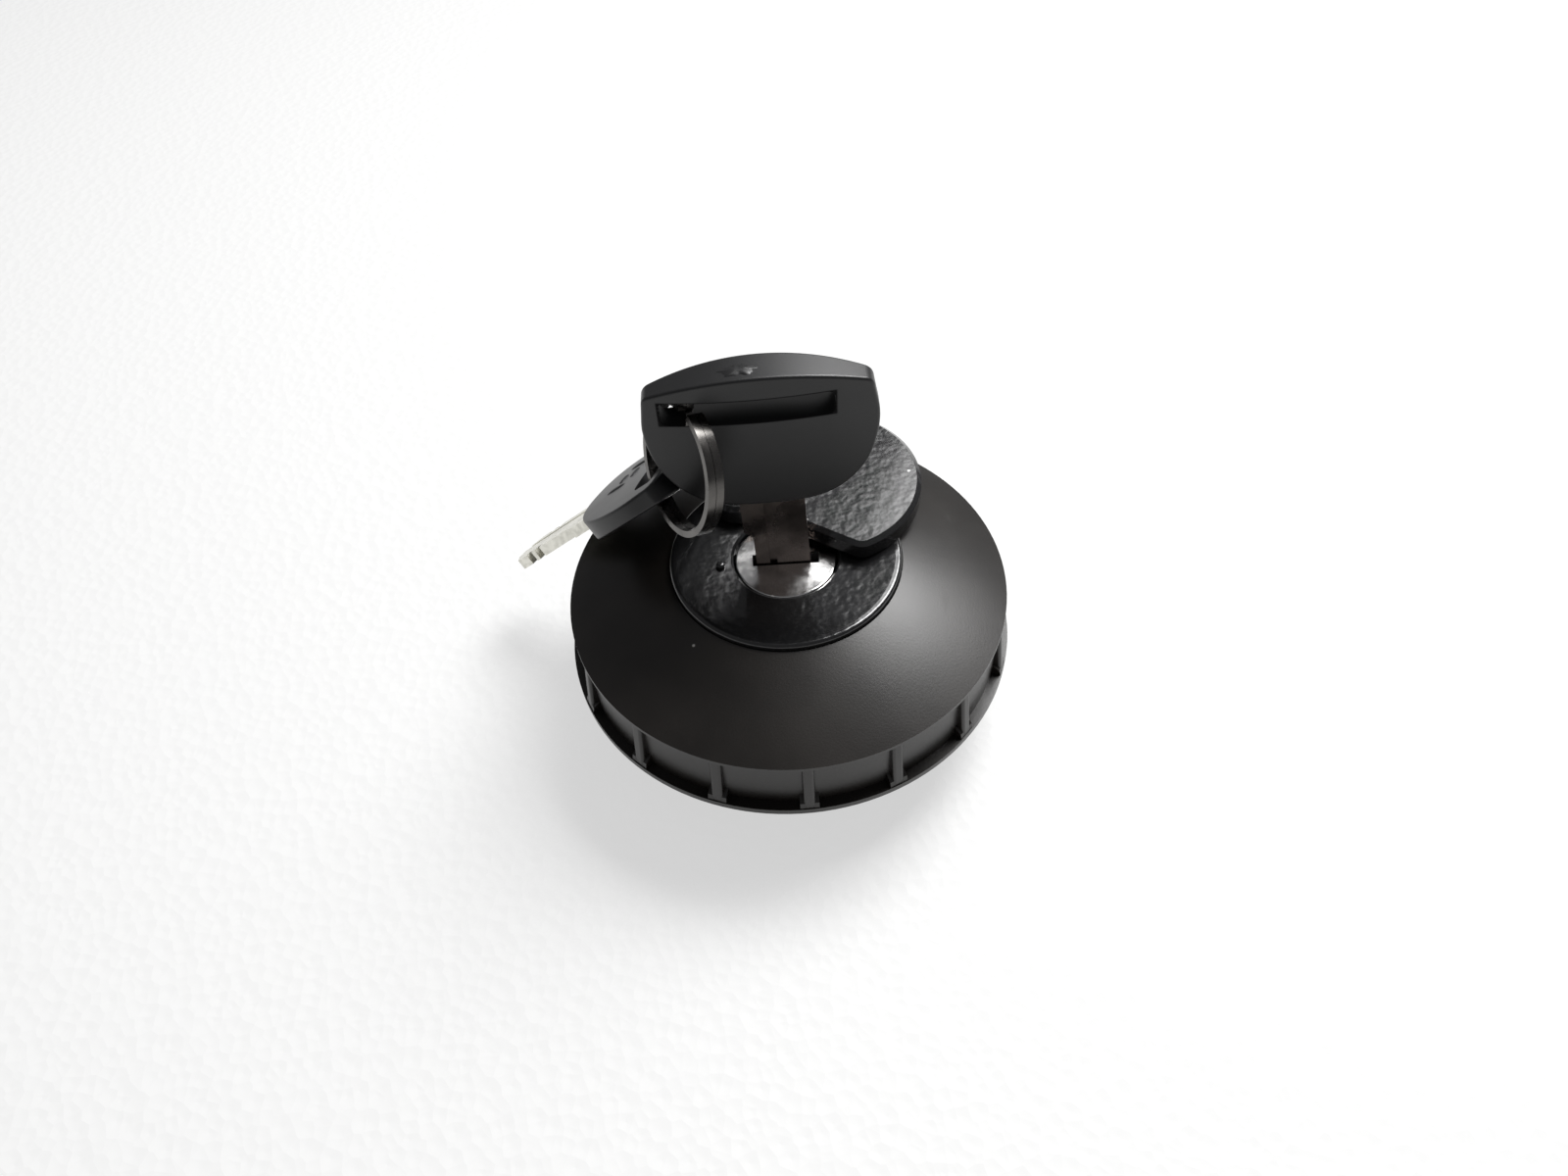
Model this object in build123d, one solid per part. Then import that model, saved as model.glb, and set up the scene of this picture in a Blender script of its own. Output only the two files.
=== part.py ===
from build123d import *
import math
import os

os.makedirs("parts", exist_ok=True)

# Locking fuel filler cap with a swing-aside lock cover, its key, and a spare key on a split ring.
# The origin is on the cap's axis, in the plane that the insert stands on. +Z points out of the tank.

# ---------------------------------------------------------------- cap shell
rim_radius = 40.0          # sharp top edge of the skirt
rim_band = 0.7             # narrow band under the rim, before the side panels begin
skirt_height = 12.3
skirt_wall = 2.1
panel_depth = 0.7          # how far the side panels lie inside the rim
lip_reach = 1.15           # the lip stands this much outside the rim
lip_thickness = 1.2
cone_rise = 6.8            # shallow cone, from the rim up to the lock plate
cone_bulge = 0.25
cone_wall = 2.4
rib_count = 16
rib_phase = 2.1            # degrees, turn of the ribs away from straight ahead
rib_width = 2.1
rib_foot_width = 3.3
rib_foot_height = 2.4
hub_wall = 3.3

# ---------------------------------------------------------------- lock housing
plate_radius = 20.87
plate_proud = 1.3          # the plate's rim stands this much above the cone
plate_thickness = 2.6
plate_dish = 0.62          # fall of the plate's face from its rim to the lock
plate_round = 0.7
plate_fit = 0.15
tube_radius = 12.4
tube_fit = 0.3
face_recess = 1.27         # the lock's face lies this much below the plate's rim
bore_chamfer = 0.45
housing_nut_height = 3.5
housing_nut_flats = 29.0
nub_radius = 0.8
nub_proud = 0.45
nub_place = (-11.7, -1.7)

# ---------------------------------------------------------------- lock barrel
barrel_radius = 8.6
barrel_fit = 0.06
face_radius = 9.11
face_fit = 0.34
face_thickness = 0.5
face_skirt = 1.5
keyway_width = 12.0
keyway_gap = 2.7
keyway_foot = 2.23         # solid end of the barrel under the keyway
barrel_foot = 2.0          # the barrel stands this much below the tube's end
key_end_fit = 0.1
wafer_count = 5
wafer_pitch = 2.5
wafer_drop = 6.6           # first wafer below the lock's face
wafer_thickness = 1.0
wafer_width = 6.4
wafer_fit = 0.08
wafer_spring_radius = 0.62
wafer_spring_wire = 0.12
wafer_spring_length = 3.6
wafer_spring_place = 2.4   # start of the spring, away from the axis
wafer_spring_fit = 0.13
wafer_ear_place = 6.2
wafer_ear_width = 0.6
wafer_ear_reach = 1.3
wafer_ear_fit = 0.1
o_ring_drop = 4.0
o_ring_section = 0.6
clip_thickness = 0.8
clip_width = 2.6
clip_depth = 1.0
tail_width = 7.0

# ---------------------------------------------------------------- cam and locking bolts
cam_radius = 13.0
cam_thickness = 2.4
cam_fit = 0.04
cam_turn = 90.0            # degrees that the key turns the cam
cam_start_radius = 10.4    # the bolts' pins, bolts out
cam_travel = 3.4
cam_screw_radius = 1.65
cam_screw_head_radius = 3.5
cam_screw_head = 2.3
bolt_width = 8.0
bolt_thickness = 2.2
bolt_inner_end = 7.5
bolt_reach = 3.2           # the bolts stand this much outside the drum
bolt_gap = 0.5             # between the bolts and the cam
bolt_pad = 2.4             # height of the bolts above the floor plate
bolt_pin_radius = 1.2
bolt_fit = 0.15

# ---------------------------------------------------------------- insert, gasket and vent
drum_radius = 26.0
drum_wall = 2.2
roof_thickness = 2.3
roof_fit = 0.5             # between the roof's edge and the skirt
gasket_thickness = 2.9
gasket_inset = 0.68        # from the roof's edge to the gasket's
gasket_groove = 0.5
gasket_fit = 0.02
lug_reach = 4.5
lug_height = 3.0
lug_base = 4.0
lug_half_angle = 16.0
floor_thickness = 3.0
floor_screw_sink = 1.8      # depth of the pockets for the screws' heads
floor_fit = 0.15
post_radius = 3.2
post_circle = 21.0
insert_screw_circle = 20.2
screw_radius = 1.45
screw_hole_fit = 0.25
screw_head_radius = 2.8
screw_head = 2.2
floor_screw_head = 1.4
floor_screw_length = 9.0
insert_screw_depth = 5.2
boss_radius = 3.4
rail_wall = 1.5
vent_place = -14.0
vent_radius = 4.0
vent_wall = 0.8
vent_height = 6.6
vent_hole = 1.4
vent_disc = 0.7
vent_stem_radius = 0.8
vent_travel = 1.0
vent_spring_wire = 0.2
vent_spring_turns = 3.5

# ---------------------------------------------------------------- swing cover
cover_radius = 18.72
cover_thickness = 3.45
cover_lift = 0.13          # underside above the plate's rim
cover_bevel = 0.85
cover_bevel_height = 0.7
cover_centre = (7.2, 15.2)
cover_flat_distance = 11.49   # straight edge from the cover's centre
cover_flat_angle = 237.5      # degrees, direction in which the straight edge faces
cover_corner = 3.0
cover_pocket_radius = 10.0
cover_pocket_depth = 1.2
pivot_place = (-8.15, 13.16)
ear_radius = 5.0
ear_blend = 2.0
pivot_radius = 1.6
pivot_fit = 0.06
pivot_head_radius = 3.3
pivot_head = 1.3
pivot_recess = 0.5
pivot_boss_radius = 4.0
spring_washer = 0.28

# ---------------------------------------------------------------- keys and split ring
blade_width = 9.6
blade_thickness = 2.1
blade_length = 29.0
blade_shoulder = 1.5
blade_shoulder_length = 8.8
blade_tip = 2.5
blade_tip_width = 3.0
blade_groove_width = 1.3
blade_groove_depth = 0.45
tang_width = 7.0
tang_length = 9.0
notch_length = 1.6
cut_wafers = (2, 3)         # the wafers that this key's code lifts
cut_depths = (1.5, 1.0)
bow_height = 27.0
bow_half_width = 18.9
bow_offset = -1.0
bow_middle_thickness = 6.4
bow_end_thickness = 2.8
bow_top_drop = 3.4
bow_edge_round = 0.5
slot_width = 27.8
slot_height = 4.55
slot_base = 18.3
slot_middle = -2.9
slot_corner = 1.2
key_exposed = 17.7         # blade between the lock's face and the bow
key_lean = 2.0             # degrees, the key's play in the lock lets it lean
key_shift = -0.4
ring_radius = 11.5
ring_section = 1.1
ring_coil = 1.33
ring_coil_gap = 0.09
ring_split = 14.0          # degrees over which one coil crosses to the other
ring_centre = (-15.84, -2.68, 33.88)   # from the centre of the rim's plane
ring_azimuth = 27.3
ring_elevation = -14.1
spare_place = (-30.86, 16.66, 7.96)    # foot of the spare key's bow, from the rim's plane
spare_up = (0.738, -0.136, 0.661)
spare_side = (0.394, 0.882, -0.258)

# ---------------------------------------------------------------- worked out from the sizes above
# The stack from the floor plate up to the rim: floor, bolts, cam, barrel, keyway, plate, cone.
bolt_base = floor_thickness + bolt_pad
bolt_top = bolt_base + bolt_thickness
cam_base = bolt_top + bolt_gap
cam_top = cam_base + cam_thickness
barrel_end = cam_top + 0.1
tube_end = barrel_end + barrel_foot
keyway_floor = barrel_end + keyway_foot
face_top = keyway_floor + key_end_fit + blade_length - blade_shoulder_length
plate_top = face_top + face_recess
cone_top = plate_top - plate_proud
rim_height = cone_top - cone_rise

panel_radius = rim_radius - panel_depth
skirt_inner = panel_radius - skirt_wall
lip_radius = rim_radius + lip_reach
lip_base = rim_height - skirt_height
plate_seat = plate_top - plate_thickness
face_base = face_top - face_thickness
bore_radius = barrel_radius + barrel_fit
mouth_radius = face_radius + face_fit
mouth_floor = face_base - face_skirt - face_fit / 2
roof_top = rim_height - cone_wall + 0.3
roof_base = roof_top - roof_thickness
roof_radius = skirt_inner - roof_fit
drum_inner = drum_radius - drum_wall
bolt_outer_end = drum_radius + bolt_reach
cover_base = plate_top + cover_lift
cover_top = cover_base + cover_thickness


def cylinder(radius, low, high, x=0.0, y=0.0):
    """Upright cylinder between two heights."""
    return Pos(x, y, low) * Cylinder(radius, high - low, align=(Align.CENTER, Align.CENTER, Align.MIN))


def block(x_low, x_high, y_low, y_high, z_low, z_high):
    """Box between two corners."""
    size = Box(x_high - x_low, y_high - y_low, z_high - z_low, align=(Align.MIN, Align.MIN, Align.MIN))
    return Pos(x_low, y_low, z_low) * size


def turned(points):
    """Solid of revolution about the cap's axis from (radius, height) points."""
    profile = make_face(Plane.XZ * Polyline(*points, close=True))
    return revolve(profile, Axis.Z)


def around(count, start=0.0):
    """Rotations that place copies evenly about the cap's axis."""
    return [Rot(0, 0, start + index * 360.0 / count) for index in range(count)]


def coil(radius, wire, height, turns):
    """Helical spring along +Z with its base at the origin."""
    path = Helix(height / turns, height, radius)
    section = Plane(path @ 0, z_dir=path % 0) * Circle(wire)
    return sweep(section, path)


def ring_plate(inner, outer, low, high):
    """Flat ring between two heights."""
    return cylinder(outer, low, high) - cylinder(inner, low - 1, high + 1)


def cap_shell():
    """Moulded shell: shallow cone, ribbed skirt with a thin lip, hub and screw bosses."""
    ledge = lip_base + lip_thickness
    band_low = rim_height - rim_band
    recess_radius = plate_radius + plate_fit
    hub_outer = tube_radius + tube_fit + hub_wall
    middle = ((recess_radius + rim_radius) / 2, (cone_top + rim_height) / 2 + cone_bulge)
    outline = Plane.XZ * (
        Polyline(
            (rim_radius, rim_height),
            (rim_radius, band_low),
            (panel_radius, band_low - panel_depth / 2),
            (panel_radius, ledge),
            (lip_radius, ledge),
            (lip_radius, lip_base),
            (skirt_inner, lip_base),
            (skirt_inner, rim_height - cone_wall + 0.45),
            (hub_outer + 4.5, plate_seat - cone_wall),
            (hub_outer, plate_seat - cone_wall),
            (hub_outer, roof_top),
            (tube_radius + tube_fit, roof_top),
            (tube_radius + tube_fit, plate_seat),
            (recess_radius, plate_seat),
            (recess_radius, cone_top),
        )
        + ThreePointArc((recess_radius, cone_top), middle, (rim_radius, rim_height))
    )
    shell = revolve(make_face(outline), Axis.Z)
    rib = make_face(
        Plane.XZ
        * Polyline(
            (panel_radius - 0.4, ledge - 0.4),
            (lip_radius - 0.15, ledge - 0.4),
            (rim_radius, band_low + 0.05),
            (panel_radius - 0.4, band_low + 0.05),
            close=True,
        )
    )
    foot = make_face(
        Plane.XZ
        * Polyline(
            (panel_radius - 0.4, ledge - 0.4),
            (lip_radius - 0.1, ledge - 0.4),
            (lip_radius - 0.45, ledge + rib_foot_height / 2),
            (panel_radius - 0.05, ledge + rib_foot_height),
            close=True,
        )
    )
    rib = extrude(rib, rib_width / 2, both=True)
    long = skirt_height / 3
    outer = rib.edges().filter_by(lambda e: e.center().X > panel_radius + 0.3 and e.length > long)
    rib = fillet(outer, 0.6)
    rib = rib + extrude(foot, rib_foot_width / 2, both=True)
    for turn in around(rib_count, rib_phase - 90.0):
        shell = shell + turn * rib
    boss_top = plate_seat - cone_wall + 0.3
    for turn in around(4):
        shell = shell + turn * cylinder(boss_radius, roof_top, boss_top, insert_screw_circle)
    for turn in around(4):
        pilot = cylinder(screw_radius, roof_top - 1, roof_top + insert_screw_depth + 0.3, insert_screw_circle)
        shell = shell - turn * pilot
    return shell


def wafer_heights():
    """Middle heights of the wafers in the barrel."""
    return [face_top - wafer_drop - index * wafer_pitch for index in range(wafer_count)]


def spring_line():
    """Distance of the wafer springs from the barrel's middle plane."""
    return wafer_width / 2 + wafer_fit + wafer_ear_reach / 2 + 0.03


def lock_housing():
    """Die-cast lock housing: dished plate, threaded tube, pivot boss and stop nub."""
    dish_end = plate_top - plate_dish
    body = turned(
        [
            (bore_radius, tube_end),
            (tube_radius, tube_end),
            (tube_radius, plate_seat),
            (plate_radius, plate_seat),
            (plate_radius, plate_top),
            (plate_radius - 1.2, plate_top),
            (mouth_radius + bore_chamfer, dish_end),
            (mouth_radius, dish_end - bore_chamfer),
            (mouth_radius, mouth_floor),
            (bore_radius, mouth_floor),
        ]
    )
    rim = body.edges().filter_by(GeomType.CIRCLE).filter_by(
        lambda e: abs(e.radius - plate_radius) < 0.01 and abs(e.center().Z - plate_top) < 0.01
    )
    body = fillet(rim, plate_round)
    body = body + cylinder(pivot_boss_radius, plate_seat + 0.5, cover_base - 0.05, *pivot_place)
    nub = cylinder(nub_radius, plate_seat + 0.5, plate_top + nub_proud, *nub_place)
    nub = fillet(nub.edges().group_by(Axis.Z)[-1], nub_radius * 0.6)
    body = body + nub
    body = body - cylinder(pivot_radius, plate_seat - 1, cover_base + 1, *pivot_place)
    groove_depth = barrel_radius + 2.0
    groove_low = wafer_heights()[-1] - 1.5
    for side in (-1, 1):
        x_low, x_high = sorted((side * (bore_radius - 1.0), side * groove_depth))
        half = wafer_width / 2 + 0.3
        body = body - block(x_low, x_high, -half, half, groove_low, mouth_floor + 0.1)
    return body


def housing_nut():
    """Hexagonal ring nut that clamps the housing against the insert."""
    nut = extrude(Pos(0, 0, roof_base - housing_nut_height)
                  * RegularPolygon(housing_nut_flats / 2, 6, major_radius=False), housing_nut_height)
    nut = nut - cylinder(tube_radius + 0.02, 0, roof_top)
    return nut


def lock_barrel():
    """Rotor with keyway, wafer slots, spring pockets, seal and clip grooves and a square tail."""
    body = cylinder(barrel_radius, barrel_end, face_base)
    tail = tail_width / 2
    body = body + block(-tail, tail, -tail, tail, cam_base + 0.1, barrel_end)
    half = keyway_width / 2
    body = body - block(-half, half, -keyway_gap / 2, keyway_gap / 2, keyway_floor, face_top)
    slot = wafer_thickness / 2 + wafer_fit
    side = wafer_width / 2 + wafer_fit
    for height in wafer_heights():
        body = body - block(-barrel_radius, barrel_radius, -side, side, height - slot, height + slot)
        start = wafer_spring_place - 0.2
        room = wafer_spring_radius + wafer_spring_fit
        ear_top = side + wafer_ear_reach + wafer_ear_fit
        ear = block(start, barrel_radius, side - 0.1, ear_top, height - slot, height + slot)
        pocket = Pos(start, spring_line(), height) * Rot(0, 90, 0) * cylinder(room, 0, 5.0)
        body = body - ear - pocket
    seal_z = face_top - o_ring_drop
    seal_floor = barrel_radius - 2 * o_ring_section
    body = body - ring_plate(seal_floor, barrel_radius + 1, seal_z - o_ring_section - 0.12,
                             seal_z + o_ring_section + 0.12)
    clip_top = tube_end - 0.1
    body = body - ring_plate(barrel_radius - clip_depth, barrel_radius + 1,
                             clip_top - clip_thickness - 0.1, clip_top + 0.05)
    body = body - cylinder(cam_screw_radius + 0.03, cam_base - 1, cam_base + 4.0)
    return body


def barrel_face_cap():
    """Bright cap crimped over the front of the barrel, with the keyway slot."""
    cap = cylinder(face_radius, face_base - face_skirt, face_top)
    cap = fillet(cap.edges().group_by(Axis.Z)[-1], 0.35)
    cap = cap - cylinder(barrel_radius + 0.02, face_base - face_skirt - 1, face_base)
    half = keyway_width / 2
    cap = cap - block(-half, half, -keyway_gap / 2, keyway_gap / 2, face_base - 1, face_top + 1)
    return cap


def wafer_tumblers():
    """Stamped wafers with a window for the blade and an ear for the spring."""
    wafers = []
    side = wafer_width / 2
    for height in wafer_heights():
        low = height - wafer_thickness / 2
        high = height + wafer_thickness / 2
        plate = block(-barrel_radius, barrel_radius, -side, side, low, high)
        plate = plate & cylinder(barrel_radius - 0.12, low, high)
        window = keyway_width / 2 + 0.1
        gap = keyway_gap / 2 + 0.1
        plate = plate - block(-window, window, -gap, gap, low - 1, high + 1)
        ear = wafer_ear_place + wafer_ear_width
        plate = plate + block(wafer_ear_place, ear, side - 0.1, side + wafer_ear_reach, low, high)
        wafers.append(plate)
    return Compound(children=wafers)


def wafer_springs():
    """One small coil spring behind each wafer's ear."""
    springs = []
    radius = wafer_spring_radius - wafer_spring_wire
    for height in wafer_heights():
        spring = coil(radius, wafer_spring_wire, wafer_spring_length, 6)
        springs.append(Pos(wafer_spring_place, spring_line(), height) * Rot(0, 90, 0) * spring)
    return Compound(children=springs)


def barrel_o_ring():
    """Seal in the barrel's groove."""
    return Pos(0, 0, face_top - o_ring_drop) * Torus(barrel_radius - o_ring_section, o_ring_section)


def barrel_clip():
    """Open retaining clip under the end of the housing's tube."""
    top = tube_end - 0.1
    inner = barrel_radius - clip_depth + 0.03
    clip = ring_plate(inner, inner + clip_width, top - clip_thickness, top)
    clip = clip - block(0, inner + clip_width + 1, -inner * 0.75, inner * 0.75, top - 2, top + 1)
    return clip


def cam_slot():
    """Cutter for one spiral slot: the pin's path at a constant fall per degree, with round room."""
    room = bolt_pin_radius + bolt_fit + 0.08
    steps = 12
    over = math.degrees((bolt_pin_radius + bolt_fit) / (cam_start_radius - cam_travel)) * 0.9
    outer = []
    inner = []
    for index in range(steps + 1):
        turn = -over + (cam_turn + 2 * over) * index / steps
        radius = cam_start_radius - cam_travel * turn / cam_turn
        direction = math.radians(-turn)
        outer.append(((radius + room) * math.cos(direction), (radius + room) * math.sin(direction)))
        inner.append(((radius - room) * math.cos(direction), (radius - room) * math.sin(direction)))
    edges = Spline(*outer) + Line(outer[-1], inner[-1]) + Spline(*inner) + Line(inner[0], outer[0])
    return extrude(Pos(0, 0, cam_base - 1) * make_face(edges), cam_thickness + 2)


def cam_disc():
    """Cam on the barrel's tail, with a spiral slot for each bolt's pin."""
    disc = cylinder(cam_radius, cam_base, cam_top)
    disc = chamfer(disc.edges().filter_by(GeomType.CIRCLE), 0.3)
    tail = tail_width / 2 + cam_fit
    disc = disc - block(-tail, tail, -tail, tail, cam_base - 1, cam_top + 1)
    slot = cam_slot()
    return disc - slot - Rot(0, 0, 180) * slot


def cam_screw():
    """Socket screw that holds the cam on the tail."""
    screw = cylinder(cam_screw_head_radius, cam_base - cam_screw_head, cam_base)
    screw = chamfer(screw.edges().group_by(Axis.Z)[0], 0.3)
    screw = screw + cylinder(cam_screw_radius, cam_base, cam_base + 3.8)
    socket = extrude(Pos(0, 0, cam_base - cam_screw_head) * RegularPolygon(1.5, 6, major_radius=False), 1.3)
    return screw - socket


def locking_bolt():
    """Flat steel bolt along +X, with a hole for its pin and a bevelled nose."""
    bolt = block(bolt_inner_end, bolt_outer_end, -bolt_width / 2, bolt_width / 2, bolt_base, bolt_top)
    nose = bolt.edges().filter_by(Axis.Z).group_by(Axis.X)[-1]
    bolt = chamfer(nose, 1.4)
    return bolt - cylinder(bolt_pin_radius, bolt_base - 1, bolt_top + 1, cam_start_radius)


def bolt_pin():
    """Pin riveted in the bolt, standing up into the cam's slot."""
    return cylinder(bolt_pin_radius, bolt_base, cam_top - 0.2, cam_start_radius)


def insert_body():
    """Moulded insert: drum, wide roof that carries the gasket, bayonet lugs, posts and bolt windows."""
    body = cylinder(drum_radius, 0, roof_base)
    body = body - cylinder(drum_inner, -1, roof_base)
    body = body + ring_plate(tube_radius + tube_fit, roof_radius, roof_base, roof_top)
    for turn in around(4, 45):
        body = body + turn * cylinder(post_radius, floor_thickness, roof_base, post_circle)
    lug_angle = 2 * lug_half_angle
    for start in (90, 270):
        lug = make_face(Plane.XZ * Polyline(
            (drum_radius - 0.5, lug_base),
            (drum_radius + lug_reach, lug_base + 0.6),
            (drum_radius + lug_reach, lug_base + lug_height),
            (drum_radius - 0.5, lug_base + lug_height),
            close=True,
        ))
        lug = revolve(lug, Axis.Z, lug_angle)
        body = body + Rot(0, 0, start - lug_half_angle) * lug
    for side in (-1, 1):
        x_low, x_high = sorted((side * (drum_inner - 1.5), side * (drum_radius + 1)))
        half = bolt_width / 2 + bolt_fit
        window = block(x_low, x_high, -half, half, bolt_base - bolt_fit, bolt_top + bolt_fit)
        body = body - window
    for turn in around(4, 45):
        hole = cylinder(screw_radius, floor_thickness - 1, floor_thickness + floor_screw_length, post_circle)
        body = body - turn * hole
    for turn in around(4):
        hole = cylinder(screw_radius + screw_hole_fit, roof_base - 1, roof_top + 1, insert_screw_circle)
        body = body - turn * hole
    return body


def screw_head_cross(radius, base, depth):
    """Cross recess cut up into a screw head from below."""
    arm = radius * 0.55
    half = radius * 0.13
    one = block(-arm, arm, -half, half, base - 0.1, base + depth)
    two = block(-half, half, -arm, arm, base - 0.1, base + depth)
    return one + two


def screw_group(circle, start, seat, head, length):
    """Four pan-head screws pointing up, heads under the seat height."""
    screws = []
    for turn in around(4, start):
        screw = cylinder(screw_head_radius, seat - head, seat)
        screw = fillet(screw.edges().group_by(Axis.Z)[0], head * 0.4)
        screw = screw + cylinder(screw_radius - 0.02, seat, seat + length)
        screw = screw - screw_head_cross(screw_head_radius, seat - head, head * 0.5)
        screws.append(turn * Pos(circle, 0, 0) * screw)
    return Compound(children=screws)


def insert_screws():
    """Screws through the insert's roof into the shell's bosses."""
    length = roof_thickness + insert_screw_depth - 0.3
    return screw_group(insert_screw_circle, 0, roof_base, screw_head, length)


def insert_floor():
    """Floor plate of the insert with the rails that guide the bolts and the vent's seat hole."""
    plate = cylinder(drum_inner - floor_fit, 0, floor_thickness)
    for side in (-1, 1):
        rail_in = bolt_inner_end - 1.5
        rail_out = drum_inner - 0.5
        x_low, x_high = sorted((side * rail_in, side * rail_out))
        half = bolt_width / 2 + bolt_fit
        pad = block(x_low, x_high, -half - rail_wall, half + rail_wall, floor_thickness - 0.1, bolt_top + 0.1)
        channel = block(x_low - 1, x_high + 1, -half, half, bolt_base - 0.1, bolt_top + 1)
        plate = plate + (pad - channel)
    plate = plate & cylinder(drum_inner - floor_fit, 0, roof_base)
    plate = plate - cylinder(vent_radius + 0.02, 0, roof_base, 0, vent_place)
    for turn in around(4, 45):
        hole = cylinder(screw_radius + screw_hole_fit, -1, floor_thickness + 1, post_circle)
        sink = cylinder(screw_head_radius + screw_hole_fit, -1, floor_screw_sink, post_circle)
        plate = plate - turn * hole - turn * sink
    return plate


def floor_screws():
    """Screws through the floor plate into the insert's posts."""
    return screw_group(post_circle, 45, floor_screw_sink, floor_screw_head, floor_screw_length)


def main_gasket():
    """Rubber ring under the insert's roof that seals on the filler neck."""
    inner = drum_radius + gasket_fit
    width = roof_radius - gasket_inset - inner
    low = roof_base - gasket_thickness
    floor = low + gasket_groove
    ring = ring_plate(inner, inner + width, low, roof_base)
    ring = fillet(ring.edges().group_by(Axis.Z)[0], gasket_groove)
    groove = ring_plate(inner + 0.30 * width, inner + 0.42 * width, low - 1, floor)
    groove = groove + ring_plate(inner + 0.60 * width, inner + 0.72 * width, low - 1, floor)
    return ring - groove


def vent_seat():
    """Brass cup of the vent valve, pressed into the floor plate."""
    cup = cylinder(vent_radius, 0, vent_height, 0, vent_place)
    cup = cup - cylinder(vent_radius - vent_wall, 1.0, vent_height + 1, 0, vent_place)
    return cup - cylinder(vent_hole, -1, 2, 0, vent_place)


def vent_disc_base():
    """Height of the vent disc's underside at rest on its seat."""
    return 1.0 + 0.05


def vent_plunger():
    """Vent disc with a guide stem."""
    low = vent_disc_base()
    disc = cylinder(vent_radius - vent_wall - 0.2, low, low + vent_disc, 0, vent_place)
    return disc + cylinder(vent_stem_radius, low, vent_height, 0, vent_place)


def vent_retainer():
    """Ring that closes the vent's cup and carries the spring."""
    top = vent_height
    ring = cylinder(vent_radius - vent_wall, top - 0.6, top, 0, vent_place)
    return ring - cylinder(vent_stem_radius + 0.4, top - 2, top + 1, 0, vent_place)


def vent_spring():
    """Light coil spring that holds the vent shut."""
    low = vent_disc_base() + vent_disc + vent_spring_wire + 0.03
    high = vent_height - 0.6 - vent_spring_wire - 0.03
    spring = coil(vent_radius - vent_wall - 1.1, vent_spring_wire, high - low, vent_spring_turns)
    return Pos(0, vent_place, low) * spring


def cover_outline():
    """Round cover with one straight edge and an ear at its pivot."""
    facing = math.radians(cover_flat_angle)
    reach = cover_flat_distance + cover_radius
    middle = (cover_centre[0] + reach * math.cos(facing), cover_centre[1] + reach * math.sin(facing))
    cutter = Pos(*middle) * Rot(0, 0, cover_flat_angle) * Rectangle(2 * cover_radius, 4 * cover_radius)
    disc = Pos(*cover_centre) * Circle(cover_radius) - cutter
    far_corner = disc.vertices().sort_by(Axis.X)[-1]
    disc = fillet(far_corner, cover_corner)
    outline = disc + Pos(*pivot_place) * Circle(ear_radius)
    near = [v for v in outline.vertices() if abs(math.dist((v.X, v.Y), pivot_place) - ear_radius) < 0.01]
    return fillet(near, ear_blend)


def swing_cover():
    """Die-cast cover that swings aside from the lock."""
    outline = cover_outline()
    wall = cover_thickness - cover_bevel_height
    body = extrude(Pos(0, 0, cover_base) * outline, wall)
    slope = math.degrees(math.atan(cover_bevel / cover_bevel_height))
    body = body + extrude(Pos(0, 0, cover_base + wall) * outline, cover_bevel_height, taper=slope)
    pocket = cylinder(cover_pocket_radius, cover_base - 1, cover_base + cover_pocket_depth, *cover_centre)
    body = body - pocket
    body = body - cylinder(pivot_radius + pivot_fit, cover_base - 1, cover_top + 1, *pivot_place)
    return body - cylinder(pivot_head_radius + 0.4, cover_top - pivot_recess, cover_top + 1, *pivot_place)


def cover_spring_washer():
    """Spring washer between the cover's ear and the pivot's head."""
    low = cover_top - pivot_recess + 0.02
    washer = cylinder(pivot_head_radius, low, low + spring_washer, *pivot_place)
    return washer - cylinder(pivot_radius + pivot_fit, low - 1, low + 1, *pivot_place)


def cover_pivot():
    """Headed pin that the cover turns on."""
    seat = cover_top - pivot_recess + 0.04 + spring_washer
    pin = cylinder(pivot_radius, plate_seat, seat, *pivot_place)
    head = cylinder(pivot_head_radius, seat, seat + pivot_head, *pivot_place)
    head = fillet(head.edges().group_by(Axis.Z)[-1], pivot_head * 0.8)
    return pin + head


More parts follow.
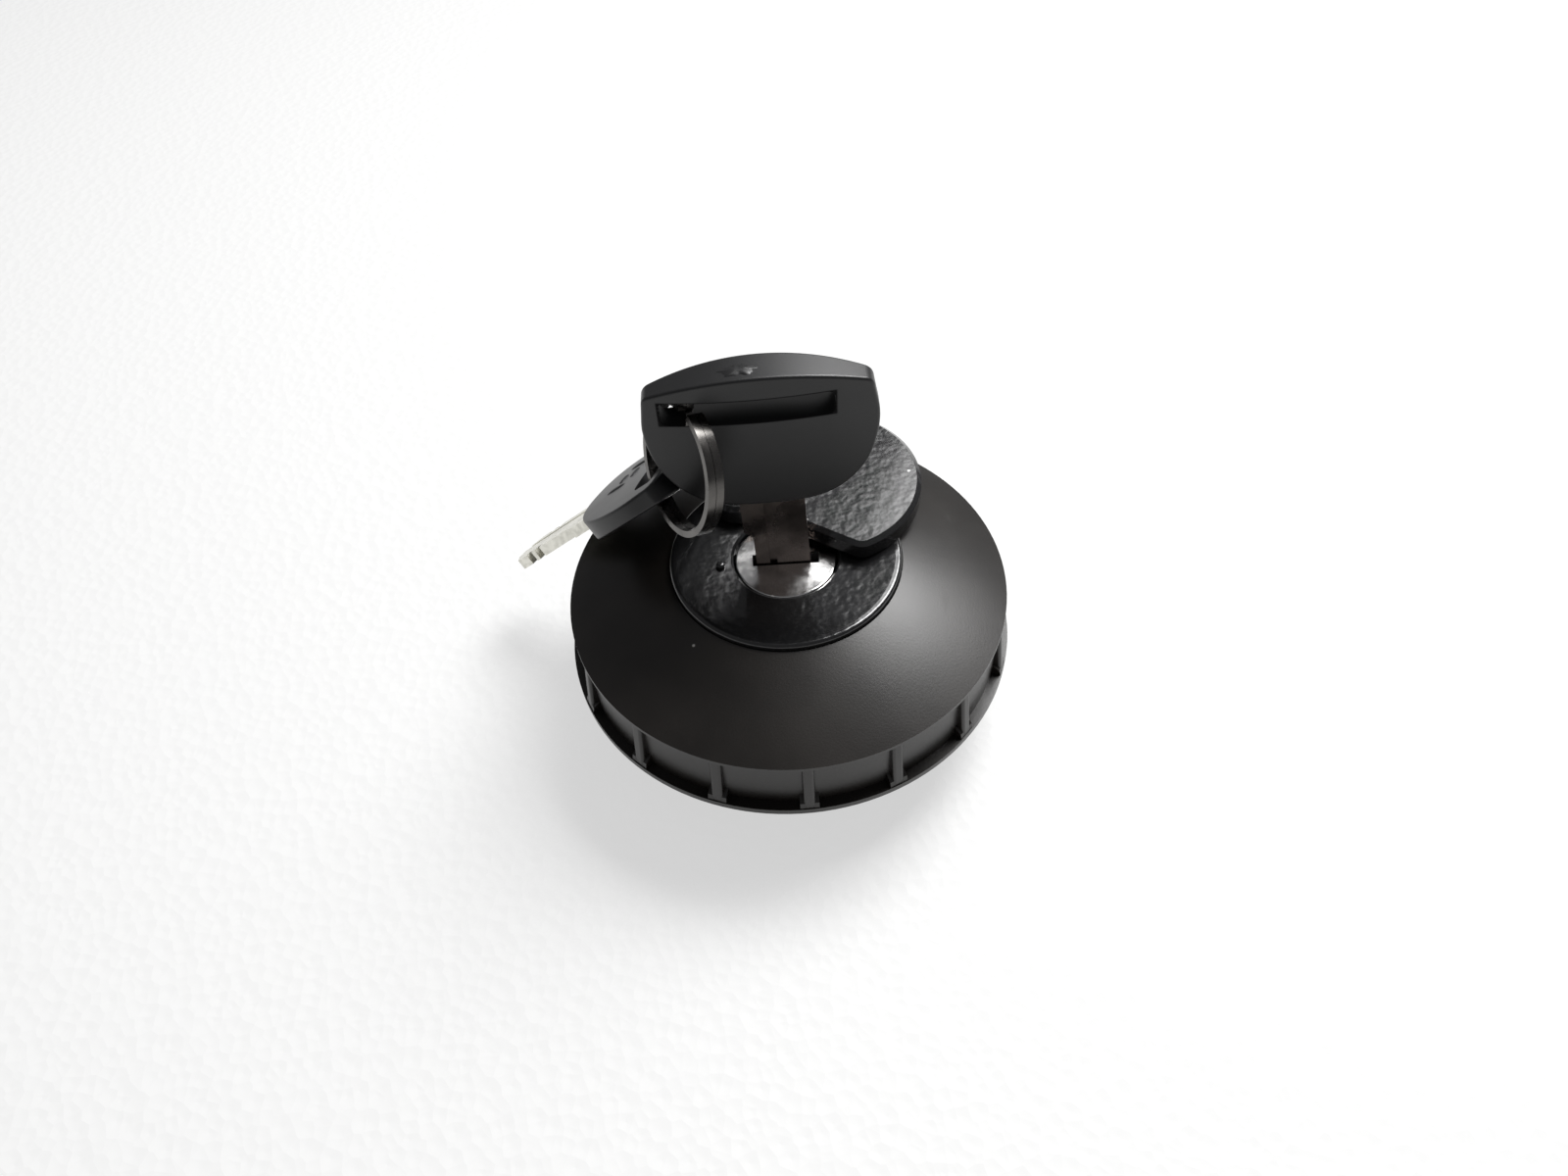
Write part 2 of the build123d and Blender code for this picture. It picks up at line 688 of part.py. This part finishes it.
def key_blade():
    """Flat key blade in its own frame: bow above z = 0, tip below, wide faces towards -Y and +Y."""
    half = blade_width / 2
    tip = blade_tip_width / 2
    wide = -half - blade_shoulder
    side = make_face(
        Plane.XZ
        * Polyline(
            (wide, 0),
            (wide, -blade_shoulder_length),
            (-half, -blade_shoulder_length - blade_shoulder),
            (-half, -blade_length + blade_tip),
            (-tip, -blade_length),
            (tip, -blade_length),
            (half, -blade_length + blade_tip),
            (half, 0),
            (tang_width / 2, 0),
            (tang_width / 2, tang_length),
            (-tang_width / 2, tang_length),
            (-tang_width / 2, 0),
            close=True,
        )
    )
    blade = extrude(side, blade_thickness / 2, both=True)
    depth = blade_thickness / 2 - blade_groove_depth
    for face in (-1, 1):
        y_low, y_high = sorted((face * depth, face * blade_thickness))
        x_middle = face * blade_width * 0.18
        groove = block(x_middle - blade_groove_width / 2, x_middle + blade_groove_width / 2,
                       y_low, y_high, -blade_length - 1, -1.2)
        blade = blade - groove
    for wafer, depth in zip(cut_wafers, cut_depths):
        middle = -blade_shoulder_length - wafer_drop - wafer * wafer_pitch
        for edge in (-1, 1):
            x_low, x_high = sorted((edge * (half - depth), edge * (half + 1)))
            blade = blade - block(x_low, x_high, -blade_thickness, blade_thickness,
                                  middle - notch_length / 2, middle + notch_length / 2)
    return blade


def bow_outline():
    """Outline of the bow: deep curved bottom, nearly straight flanks and an arched top."""
    corner = bow_height - bow_top_drop
    wide = bow_half_width
    right = Spline(
        (0, 0),
        (wide * 0.66, bow_height * 0.085),
        (wide * 0.87, bow_height * 0.245),
        (wide, bow_height * 0.63),
        (wide * 0.955, corner),
        tangents=((1, 0), (-0.12, 1)),
    )
    left = right.mirror(Plane.YZ)
    top = ThreePointArc((wide * 0.955, corner), (0, bow_height), (-wide * 0.955, corner))
    face = make_face(Curve() + [right, top, left])
    corners = face.vertices().sort_by(Axis.Y)[-2:]
    return fillet(corners, 2.0)


def key_bow():
    """Moulded bow, thick in the middle and thin at its ends, with a long slot for the ring."""
    outline = Plane.XZ * Pos(bow_offset, 0) * bow_outline()
    body = extrude(outline, bow_middle_thickness, both=True)
    end = bow_half_width * 1.02
    thin = bow_end_thickness / 2
    thick = bow_middle_thickness / 2
    lens = make_face(
        ThreePointArc((-end, -thin), (0, -thick), (end, -thin))
        + Line((end, -thin), (end, thin))
        + ThreePointArc((end, thin), (0, thick), (-end, thin))
        + Line((-end, thin), (-end, -thin))
    )
    body = body & extrude(Pos(bow_offset, 0, -1) * lens, bow_height + 2)
    body = fillet(body.edges().filter_by(lambda e: e.length > 8), bow_edge_round)
    slot = RectangleRounded(slot_width, slot_height, slot_corner)
    slot = Plane.XZ * Pos(slot_middle, slot_base + slot_height / 2) * slot
    body = body - extrude(slot, bow_middle_thickness, both=True)
    tang = tang_width / 2 + 0.01
    depth = blade_thickness / 2 + 0.01
    return body - block(-tang, tang, -depth, depth, -1, tang_length + 0.01)


def key_one_place():
    """Frame of the key in the lock, at the foot of its bow."""
    lean = math.radians(key_lean)
    up = (-math.sin(lean), 0, math.cos(lean))
    side = (math.cos(lean), 0, math.sin(lean))
    foot = (key_shift + key_exposed * up[0], 0, face_top + key_exposed * up[2])
    return Plane(origin=foot, x_dir=side, z_dir=up).location


def key_two_place():
    """Frame of the spare key that hangs from the ring over the rim."""
    foot = (spare_place[0], spare_place[1], rim_height + spare_place[2])
    return Plane(origin=foot, x_dir=spare_side, z_dir=spare_up).location


def split_ring():
    """Flat-wire split ring: two coils side by side, joined where one crosses to the other."""
    inner = ring_radius - ring_section
    step = ring_coil + ring_coil_gap
    half = ring_coil + ring_coil_gap / 2
    upper = ring_plate(inner, ring_radius, ring_coil_gap / 2, half)
    lower = ring_plate(inner, ring_radius, -half, -ring_coil_gap / 2)
    split = math.radians(ring_split)
    far = 2 * ring_radius
    wedge = Polyline((0, 0), (far, 0), (far * math.cos(split), far * math.sin(split)), close=True)
    gap = extrude(Pos(0, 0, -half - 1) * make_face(wedge), 2 * half + 2)
    upper = upper - Rot(0, 0, -ring_split / 2) * gap
    lower = lower - Rot(0, 0, -ring_split / 2) * gap
    reach = ring_radius * math.sin(math.radians(ring_split / 2)) + 0.15
    bridge = Plane.YZ * Polyline(
        (-reach, ring_coil_gap / 2),
        (-reach, half),
        (reach, half - step),
        (reach, -half),
        close=True,
    )
    bridge = extrude(Pos(inner + 0.02, 0, 0) * make_face(bridge), ring_section - 0.1)
    ring = upper + lower + bridge
    azimuth = math.radians(ring_azimuth)
    elevation = math.radians(ring_elevation)
    normal = (math.cos(elevation) * math.cos(azimuth), math.cos(elevation) * math.sin(azimuth),
              math.sin(elevation))
    centre = (ring_centre[0], ring_centre[1], rim_height + ring_centre[2])
    return Plane(origin=centre, x_dir=(0, 0, 1), z_dir=normal).location * ring


def main():
    """Build every piece and write one STEP file for each."""
    bolt = locking_bolt()
    pin = bolt_pin()
    blade = key_blade()
    bow = key_bow()
    half_turn = Rot(0, 0, 180)
    pieces = {
        "cap_shell": cap_shell(),
        "lock_housing": lock_housing(),
        "housing_nut": housing_nut(),
        "lock_barrel": lock_barrel(),
        "barrel_face_cap": barrel_face_cap(),
        "wafer_tumblers": wafer_tumblers(),
        "wafer_springs": wafer_springs(),
        "barrel_o_ring": barrel_o_ring(),
        "barrel_clip": barrel_clip(),
        "cam_disc": cam_disc(),
        "cam_screw": cam_screw(),
        "locking_bolt_1": bolt,
        "locking_bolt_2": half_turn * bolt,
        "bolt_pin_1": pin,
        "bolt_pin_2": half_turn * pin,
        "insert_body": insert_body(),
        "insert_screws": insert_screws(),
        "insert_floor": insert_floor(),
        "floor_screws": floor_screws(),
        "main_gasket": main_gasket(),
        "vent_seat": vent_seat(),
        "vent_plunger": vent_plunger(),
        "vent_retainer": vent_retainer(),
        "vent_spring": vent_spring(),
        "swing_cover": swing_cover(),
        "cover_spring_washer": cover_spring_washer(),
        "cover_pivot": cover_pivot(),
        "key_1_blade": key_one_place() * blade,
        "key_1_bow": key_one_place() * bow,
        "key_2_blade": key_two_place() * blade,
        "key_2_bow": key_two_place() * bow,
        "split_ring": split_ring(),
    }
    for node, shape in pieces.items():
        export_step(shape, "parts/" + node + ".step")


main()
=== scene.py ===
import math

import bpy
import numpy as np
from mathutils import Matrix, Vector


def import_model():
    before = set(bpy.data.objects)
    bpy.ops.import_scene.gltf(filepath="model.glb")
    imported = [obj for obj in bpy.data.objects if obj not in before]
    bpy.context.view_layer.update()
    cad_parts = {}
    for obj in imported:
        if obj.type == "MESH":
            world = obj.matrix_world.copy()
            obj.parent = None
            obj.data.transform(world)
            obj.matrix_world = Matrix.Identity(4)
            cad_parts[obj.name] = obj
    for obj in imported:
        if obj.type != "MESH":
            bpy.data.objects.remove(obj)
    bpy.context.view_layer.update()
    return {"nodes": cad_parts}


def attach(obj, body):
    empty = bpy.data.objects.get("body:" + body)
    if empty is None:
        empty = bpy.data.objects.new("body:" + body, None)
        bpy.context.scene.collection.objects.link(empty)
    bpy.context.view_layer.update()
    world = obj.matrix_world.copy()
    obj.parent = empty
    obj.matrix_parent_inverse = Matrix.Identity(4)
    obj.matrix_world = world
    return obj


# Looks of a locking fuel filler cap: procedural finishes, a few small forms, floor, lights and camera.
# Lengths are in metres in the part's own frame: origin under the cap on its axis, +Z out of the tank.

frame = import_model()

MM = 0.001
RIM_HEIGHT = 26.3 * MM

# Spare key: foot of its bow, direction along the blade, and direction across the bow.
SPARE_FOOT = Vector((-30.86, 16.66, 34.26)) * MM
SPARE_UP = Vector((0.738, -0.136, 0.661)).normalized()
SPARE_SIDE = Vector((0.394, 0.882, -0.258)).normalized()
KEY_LEAN = math.radians(2.0)
FIRST_FOOT = Vector((-1.02, 0.0, 50.82)) * MM
BOW_OFFSET = -1.0 * MM
BOW_HALF_WIDTH = 18.9 * MM
BOW_HALF_MIDDLE = 3.2 * MM
BOW_HALF_END = 1.4 * MM
BOW_HEIGHT = 27.0 * MM
BOW_ARCH = 3.4 * MM
BOW_ARCH_HALF_WIDTH = 18.05 * MM
MARK_RISE = 0.3 * MM

# Slot through the first key's bow, where the bow's finish paints shade on the inner walls, with its height
# taken back to the upright key.
SLOT_LEFT = -18.5 * MM
SLOT_RIGHT = 9.3 * MM
SLOT_LOW = 69.18 * MM
SLOT_HIGH = 73.73 * MM

# Scar of the moulding gate on top of the first key's bow, with the waves in radians per metre.
SCAR_PLACE = Vector((-5.6, -0.6)) * MM
SCAR_HALF_LENGTH = 3.3 * MM
SCAR_HALF_WIDTH = 1.5 * MM
SCAR_RISE = 0.5 * MM
SCAR_RIPPLE = 0.06 * MM
SCAR_WAVES = 2600.0

# The sheet under the cap glows a little to the camera and in reflections, as an overexposed sheet does.
FLOOR_GLOW = 0.6
FLOOR_DROP = 0.02 * MM

# The camera stands on the -Y side and looks at the axis at the rim's height, then turns a little.
CAMERA_DISTANCE = 225.72 * MM
CAMERA_ELEVATION = math.radians(49.668)
CAMERA_PAN = math.radians(0.171)
CAMERA_TILT = math.radians(-0.217)
CAMERA_ROLL = math.radians(3.534)
CAMERA_LENS = 28.125
CAMERA_SENSOR = 36.0
LIGHT_TARGET = Vector((0.0, 0.0, 0.02))


class Value:
    """A float socket of a node tree that can be used in arithmetic."""

    def __init__(self, tree, socket):
        self.tree = tree
        self.socket = socket

    def math(self, operation, other):
        """Result of one math node on this value and another value or number."""
        node = self.tree.nodes.new("ShaderNodeMath")
        node.operation = operation
        self.tree.links.new(self.socket, node.inputs[0])
        if isinstance(other, Value):
            self.tree.links.new(other.socket, node.inputs[1])
        else:
            node.inputs[1].default_value = other
        return Value(self.tree, node.outputs[0])

    def __add__(self, other):
        return self.math("ADD", other)

    def __radd__(self, other):
        return self.math("ADD", other)

    def __mul__(self, other):
        return self.math("MULTIPLY", other)


class Finish:
    """A material built from a principled shader and procedural textures in object coordinates."""

    def __init__(self, name):
        self.material = bpy.data.materials.new(name)
        self.material.use_nodes = True
        self.tree = self.material.node_tree
        self.shader = self.tree.nodes["Principled BSDF"]
        self.place = self.node("ShaderNodeTexCoord").outputs["Object"]

    def node(self, kind, settings=None, **inputs):
        """New node with its settings, and its inputs set or linked by name."""
        node = self.tree.nodes.new(kind)
        for name, value in (settings or {}).items():
            setattr(node, name, value)
        for name, value in inputs.items():
            self.put(node.inputs[name.replace("_", " ")], value)
        return node

    def put(self, socket, value):
        """Links a value to a socket, or sets the socket's constant."""
        if isinstance(value, Value):
            self.tree.links.new(value.socket, socket)
        elif isinstance(value, bpy.types.NodeSocket):
            self.tree.links.new(value, socket)
        else:
            socket.default_value = value

    def noise(self, scale, detail=2.0, roughness=0.5, stretch=None):
        """Fractal noise, scale in cycles per metre, optionally stretched along the axes."""
        place = self.place
        if stretch:
            place = self.node("ShaderNodeMapping", Vector=place, Scale=stretch).outputs[0]
        node = self.node("ShaderNodeTexNoise", Vector=place, Scale=scale, Detail=detail, Roughness=roughness)
        return Value(self.tree, node.outputs[0])

    def cells(self, scale):
        """Distance to the middle of the nearest cell, and one random number for each cell."""
        node = self.node("ShaderNodeTexVoronoi", Vector=self.place, Scale=scale)
        split = self.node("ShaderNodeSeparateColor", Color=node.outputs["Color"])
        return Value(self.tree, node.outputs["Distance"]), Value(self.tree, split.outputs[0])

    def specks(self, scale, radius, rarity):
        """One inside a few small round spots: radius and rarity are the two ends of a soft step."""
        distance, chance = self.cells(scale)
        return self.ramp(distance, *radius, 1.0, 0.0) * self.ramp(chance, *rarity)

    def along(self, axis):
        """One coordinate of the point, in metres."""
        split = self.node("ShaderNodeSeparateXYZ", Vector=self.place)
        return Value(self.tree, split.outputs[axis])

    def ramp(self, value, low, high, start=0.0, end=1.0):
        """Smooth change from start at low to end at high."""
        settings = {"clamp": True, "interpolation_type": "SMOOTHSTEP"}
        node = self.node("ShaderNodeMapRange", settings, Value=value, From_Min=low, From_Max=high)
        self.put(node.inputs["To Min"], start)
        self.put(node.inputs["To Max"], end)
        return Value(self.tree, node.outputs[0])

    def window(self, value, low, high, soft):
        """One between low and high, falling to zero at soft outside them."""
        return self.ramp(value, low - soft, low) * self.ramp(value, high, high + soft, 1.0, 0.0)

    def blend(self, factor, first, second):
        """Colour between two colours."""
        node = self.node("ShaderNodeMix", {"data_type": "RGBA"})
        self.put(node.inputs[0], factor)
        self.put(node.inputs[6], first if isinstance(first, bpy.types.NodeSocket) else (*first, 1.0))
        self.put(node.inputs[7], second if isinstance(second, bpy.types.NodeSocket) else (*second, 1.0))
        return node.outputs[2]

    def bump(self, height, distance):
        """Feeds a height, in metres at distance, to the shader's normal on top of earlier bumps."""
        node = self.node("ShaderNodeBump", Height=height, Distance=distance, Strength=1.0)
        if self.shader.inputs["Normal"].is_linked:
            self.put(node.inputs["Normal"], self.shader.inputs["Normal"].links[0].from_socket)
        self.put(self.shader.inputs["Normal"], node.outputs[0])

    def set(self, **inputs):
        """Sets the shader's inputs: colours as three numbers, values as numbers or textures."""
        for name, value in inputs.items():
            if isinstance(value, tuple):
                value = (*value, 1.0)
            self.put(self.shader.inputs[name.replace("_", " ")], value)
        return self


def shell_plastic():
    """Satin black moulding with a warm tint, faint scuffs and small pale nicks."""
    finish = Finish("shell_plastic")
    cloud = finish.noise(60.0, 3.0)
    grain = finish.noise(2600.0, 2.0)
    scuff = finish.ramp(finish.noise(420.0, 4.0, 0.7, (1.0, 0.25, 1.0)), 0.62, 0.75)
    nick = finish.specks(240.0, (0.05, 0.09), (0.985, 0.99))
    base = finish.blend(finish.ramp(cloud, 0.35, 0.7), (0.0095, 0.0078, 0.0065), (0.016, 0.0135, 0.0115))
    base = finish.blend(nick, base, (0.32, 0.31, 0.3))
    finish.set(Base_Color=base, Roughness=0.31 + cloud * 0.1 + scuff * 0.06, IOR=1.49)
    finish.bump(grain, 0.012 * MM)
    return finish.material


def black_paint(name, specks):
    """Gloss black paint with orange peel, and pale dust specks where asked."""
    finish = Finish(name)
    peel = finish.noise(620.0, 1.5, 0.45)
    fine = finish.noise(2400.0, 2.0)
    base = (0.0065, 0.0066, 0.007)
    if specks:
        dust = finish.specks(420.0, (0.1, 0.17), (0.8, 0.81))
        base = finish.blend(dust, base, (0.5, 0.5, 0.49))
    finish.set(Base_Color=base, Roughness=0.2 + fine * 0.08, Coat_Weight=0.6, Coat_Roughness=0.09)
    finish.bump(peel, 0.12 * MM)
    finish.bump(fine, 0.006 * MM)
    return finish.material


def metal(name, color, low, high, streak=(1.0, 1.0, 1.0), scale=500.0, wear=0.3):
    """Metal whose roughness varies along streaks, darkened in blotches."""
    finish = Finish(name)
    lines = finish.noise(scale, 3.0, 0.6, streak)
    blotch = finish.noise(220.0, 3.0)
    darker = tuple(channel * (1.0 - wear) for channel in color)
    base = finish.blend(finish.ramp(blotch, 0.45, 0.7), color, darker)
    finish.set(Base_Color=base, Metallic=1.0, Roughness=finish.ramp(lines, 0.3, 0.7, low, high))
    finish.bump(lines, 0.004 * MM)
    return finish.material


def bow_plastic():
    """Satin black moulding of the keys' bows, slightly glossier where it was handled, with painted shade
    inside the first key's slot.
    """
    finish = Finish("bow_plastic")
    handled = finish.noise(90.0, 2.0)
    grain = finish.noise(3000.0, 2.0)
    scuff = finish.ramp(finish.noise(700.0, 4.0, 0.7, (0.3, 1.0, 1.0)), 0.62, 0.78)
    base = finish.blend(scuff * 0.35, (0.0105, 0.0105, 0.011), (0.05, 0.05, 0.052))
    # Painted shade: inside the first key's slot the colour goes near black and the roughness goes up, fading
    # out 0.3 mm past the edges, standing in for the shadow in the slot.
    across = finish.along(0)
    above = finish.along(2) + across * -math.tan(KEY_LEAN)
    soft = 0.3 * MM
    slot_shade_mask = finish.window(across, SLOT_LEFT, SLOT_RIGHT, soft)
    slot_shade_mask = slot_shade_mask * finish.window(above, SLOT_LOW, SLOT_HIGH, soft)
    base = finish.blend(slot_shade_mask, base, (0.002, 0.002, 0.002))
    finish.set(Base_Color=base, Roughness=0.34 + handled * 0.12 + scuff * 0.1 + slot_shade_mask * 0.6, IOR=1.5)
    finish.bump(grain, 0.01 * MM)
    return finish.material


def plain(name, color, roughness, scale=900.0, depth=0.02):
    """Plain moulded plastic or rubber with a fine grain."""
    finish = Finish(name)
    grain = finish.noise(scale, 3.0)
    lighter = tuple(channel * 1.5 for channel in color)
    finish.set(Base_Color=finish.blend(grain, color, lighter), Roughness=roughness + grain * 0.1)
    finish.bump(grain, depth * MM)
    return finish.material


def paint_nodes():
    """Gives every node of the frame its finish."""
    paint = black_paint("black_paint", False)
    cover_paint = black_paint("cover_paint", True)
    shell = shell_plastic()
    bow = bow_plastic()
    insert = plain("insert_nylon", (0.012, 0.012, 0.0125), 0.45)
    rubber = plain("gasket_rubber", (0.016, 0.016, 0.016), 0.7, 1400.0, 0.03)
    chrome = metal("face_chrome", (0.84, 0.83, 0.82), 0.1, 0.24, scale=300.0, wear=0.25)
    zinc = metal("lock_zinc", (0.45, 0.45, 0.46), 0.35, 0.5)
    brass = metal("brass", (0.72, 0.54, 0.28), 0.25, 0.4)
    wire = metal("spring_wire", (0.5, 0.5, 0.52), 0.25, 0.4)
    plated = metal("plated_steel", (0.52, 0.51, 0.48), 0.28, 0.42)
    bolt = metal("bolt_steel", (0.42, 0.42, 0.43), 0.3, 0.45, (1.0, 0.1, 1.0))
    ring = metal("ring_steel", (0.11, 0.105, 0.1), 0.2, 0.32, (1.0, 1.0, 1.0), 300.0, 0.15)
    first = metal("blade_one_metal", (0.26, 0.22, 0.2), 0.22, 0.34, (1.0, 1.0, 1.0), 160.0, 0.35)
    spare = metal("blade_two_metal", (0.8, 0.79, 0.72), 0.3, 0.5, (1.0, 1.0, 1.0), 900.0, 0.1)
    finishes = {
        "cap_shell": shell,
        "lock_housing": paint,
        "cover_pivot": paint,
        "swing_cover": cover_paint,
        "barrel_face_cap": chrome,
        "lock_barrel": zinc,
        "wafer_tumblers": brass,
        "vent_seat": brass,
        "vent_plunger": brass,
        "vent_retainer": brass,
        "wafer_springs": wire,
        "vent_spring": wire,
        "barrel_clip": wire,
        "barrel_o_ring": rubber,
        "main_gasket": rubber,
        "insert_body": insert,
        "insert_floor": insert,
        "housing_nut": plated,
        "insert_screws": plated,
        "floor_screws": plated,
        "cam_screw": plated,
        "bolt_pin_1": plated,
        "bolt_pin_2": plated,
        "cover_spring_washer": plated,
        "cam_disc": bolt,
        "locking_bolt_1": bolt,
        "locking_bolt_2": bolt,
        "split_ring": ring,
        "key_1_bow": bow,
        "key_2_bow": bow,
        "key_1_blade": first,
        "key_2_blade": spare,
    }
    for node, material in finishes.items():
        for place in frame["nodes"][node].material_slots:
            place.material = material
    return finishes


def grid_object(name, points, material):
    """Mesh from a closed grid of points (rows, columns, 3): columns wrap round, end rows are capped."""
    rows, columns = points.shape[:2]
    index = np.arange(rows * columns).reshape(rows, columns)
    after = np.roll(index, -1, axis=1)
    quads = np.stack([index[:-1], after[:-1], after[1:], index[1:]], axis=-1).reshape(-1, 4)
    mesh = bpy.data.meshes.new(name)
    faces = quads.tolist() + [index[0][::-1].tolist(), index[-1].tolist()]
    mesh.from_pydata(points.reshape(-1, 3).tolist(), [], faces)
    mesh.shade_smooth()
    mesh.materials.append(material)
    made = bpy.data.objects.new(name, mesh)
    bpy.context.scene.collection.objects.link(made)
    return made


def bow_half_thickness(across):
    """Half thickness of a bow at a distance across it from its middle."""
    share = np.minimum(np.abs(across) / BOW_HALF_WIDTH, 1.0)
    return BOW_HALF_MIDDLE - (BOW_HALF_MIDDLE - BOW_HALF_END) * share**2


def pad(name, centre, size, rise, material):
    """Low rounded pad on the outer face of the spare key's bow.

    Rings of a superellipse shrink towards the top while the height follows a quarter circle, and the foot
    of the pad lies just under the bow's curved face."""
    side = np.array(SPARE_SIDE)
    up = np.array(SPARE_UP)
    levels = np.linspace(0.0, 1.0, 7)[:, None]
    turn = np.linspace(0.0, 2.0 * math.pi, 40, endpoint=False)[None, :]
    shrink = np.sqrt(1.0 - 0.92 * levels**2)
    square = np.sign(np.cos(turn)) * np.abs(np.cos(turn)) ** 0.6
    round_part = np.sign(np.sin(turn)) * np.abs(np.sin(turn)) ** 0.6
    across = centre[0] + 0.5 * size[0] * shrink * square
    along = centre[1] + 0.5 * size[1] * shrink * round_part
    height = bow_half_thickness(across - BOW_OFFSET) + (levels * 1.3 - 0.3) * rise
    points = across[..., None] * side + along[..., None] * up + height[..., None] * np.cross(up, side)
    return grid_object(name, np.array(SPARE_FOOT) + points, material)


def spare_key_marks(material):
    """Bare raised bars on the outer face of the spare key's bow, where a moulding usually carries a mark."""
    bars = [
        (-9.0, 9.0, 1.2, 5.0),
        (-5.6, 9.0, 3.4, 1.2),
        (-5.6, 12.0, 3.4, 1.2),
        (-1.2, 10.5, 1.2, 5.0),
        (2.8, 10.5, 4.0, 1.4),
    ]
    for number, bar in enumerate(bars, 1):
        across, along, width, height = (length * MM for length in bar)
        name = f"spare_key_mark_{number}"
        made = pad(name, (across, along), (width, height), MARK_RISE, material)
        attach(made, "spare_key")


def gate_scar(material):
    """Ragged scar of the moulding gate on the top of the first key's bow."""
    turn = np.linspace(0.0, 2.0 * math.pi, 48, endpoint=False)[None, :]
    levels = np.linspace(0.0, 1.0, 6)[:, None]
    uneven = 1.0 + 0.12 * np.sin(5.0 * turn) + 0.08 * np.sin(11.0 * turn + 1.0)
    shrink = np.sqrt(1.0 - 0.9 * levels**2) * uneven
    x = SCAR_PLACE.x + SCAR_HALF_LENGTH * shrink * np.cos(turn)
    y = SCAR_PLACE.y + SCAR_HALF_WIDTH * shrink * np.sin(turn)
    lean = math.sin(KEY_LEAN)
    share = (x - FIRST_FOOT.x - BOW_OFFSET + BOW_HEIGHT * lean) / BOW_ARCH_HALF_WIDTH
    arch = BOW_HEIGHT - BOW_ARCH * share**2
    ripple = SCAR_RIPPLE * np.sin(SCAR_WAVES * x) * levels
    rise = SCAR_RISE * (levels - 0.5)
    z = FIRST_FOOT.z + arch + lean * (x - FIRST_FOOT.x) + rise + ripple
    scar = grid_object("key_1_gate_scar", np.stack([x, y, z], axis=-1), material)
    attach(scar, "first_key")


def floor():
    """White foam sheet under the cap, with a fine bead grain."""
    finish = Finish("white_foam")
    distance = finish.cells(420.0)[0]
    grain = finish.noise(160.0, 4.0)
    finish.set(Base_Color=(0.86, 0.86, 0.85), Roughness=0.6)
    finish.bump(distance + grain * 0.6, 0.22 * MM)
    path = finish.node("ShaderNodeLightPath").outputs
    seen = Value(finish.tree, path["Is Camera Ray"]) + Value(finish.tree, path["Is Glossy Ray"])
    glow = finish.node("ShaderNodeEmission", Strength=1.0)
    mix = finish.node("ShaderNodeMixShader")
    finish.put(mix.inputs[0], seen * FLOOR_GLOW)
    finish.put(mix.inputs[1], finish.shader.outputs[0])
    finish.put(mix.inputs[2], glow.outputs[0])
    finish.put(finish.tree.nodes["Material Output"].inputs["Surface"], mix.outputs[0])
    bpy.ops.mesh.primitive_plane_add(size=4.0, location=(0.0, 0.0, -FLOOR_DROP))
    sheet = bpy.context.object
    sheet.name = "floor"
    sheet.data.materials.append(finish.material)


def light(name, place, width, height, power):
    """Rectangular soft light aimed at the part."""
    lamp = bpy.data.lights.new(name, "AREA")
    lamp.shape = "RECTANGLE"
    lamp.size = width
    lamp.size_y = height
    lamp.energy = power
    made = bpy.data.objects.new(name, lamp)
    made.location = place
    made.rotation_euler = (LIGHT_TARGET - Vector(place)).to_track_quat("-Z", "Y").to_euler()
    bpy.context.scene.collection.objects.link(made)


def world():
    """White to the camera, dimmer grey in reflections and as fill light."""
    made = bpy.data.worlds.new("studio")
    made.use_nodes = True
    tree = made.node_tree
    path = tree.nodes.new("ShaderNodeLightPath")
    mix = tree.nodes.new("ShaderNodeMix")
    mix.data_type = "RGBA"
    mix.inputs[6].default_value = (0.17, 0.17, 0.175, 1.0)
    mix.inputs[7].default_value = (0.97, 0.98, 0.985, 1.0)
    tree.links.new(path.outputs["Is Camera Ray"], mix.inputs[0])
    tree.links.new(mix.outputs[2], tree.nodes["Background"].inputs["Color"])
    bpy.context.scene.world = made


def camera():
    """Camera from its distance and elevation, with small pan, tilt and roll."""
    away = Vector((0.0, -math.cos(CAMERA_ELEVATION), math.sin(CAMERA_ELEVATION)))
    forward = -away
    right = Vector((1.0, 0.0, 0.0))
    up = right.cross(forward)
    turn = Matrix.Rotation(CAMERA_PAN, 3, up)
    forward, right = turn @ forward, turn @ right
    turn = Matrix.Rotation(CAMERA_TILT, 3, right)
    forward, up = turn @ forward, turn @ up
    turn = Matrix.Rotation(CAMERA_ROLL, 3, forward)
    right, up = turn @ right, turn @ up
    lens = bpy.data.cameras.new("camera")
    lens.lens = CAMERA_LENS
    lens.sensor_width = CAMERA_SENSOR
    lens.clip_start = 0.01
    made = bpy.data.objects.new("camera", lens)
    axes = Matrix((right, up, -forward)).transposed().to_4x4()
    place = away * CAMERA_DISTANCE + Vector((0.0, 0.0, RIM_HEIGHT))
    made.matrix_world = Matrix.Translation(place) @ axes
    bpy.context.scene.collection.objects.link(made)
    bpy.context.scene.camera = made


def main():
    """Builds the looks, the stage, the lights and the camera."""
    finishes = paint_nodes()
    spare_key_marks(finishes["key_2_bow"])
    gate_scar(finishes["key_1_bow"])
    floor()
    world()
    light("back_right", (0.26, 0.24, 0.52), 0.3, 0.3, 4.0)
    light("back_panel", (0.2, 0.36, 0.62), 0.36, 0.34, 2.2)
    camera()
    bpy.context.scene.view_settings.view_transform = "Standard"


main()
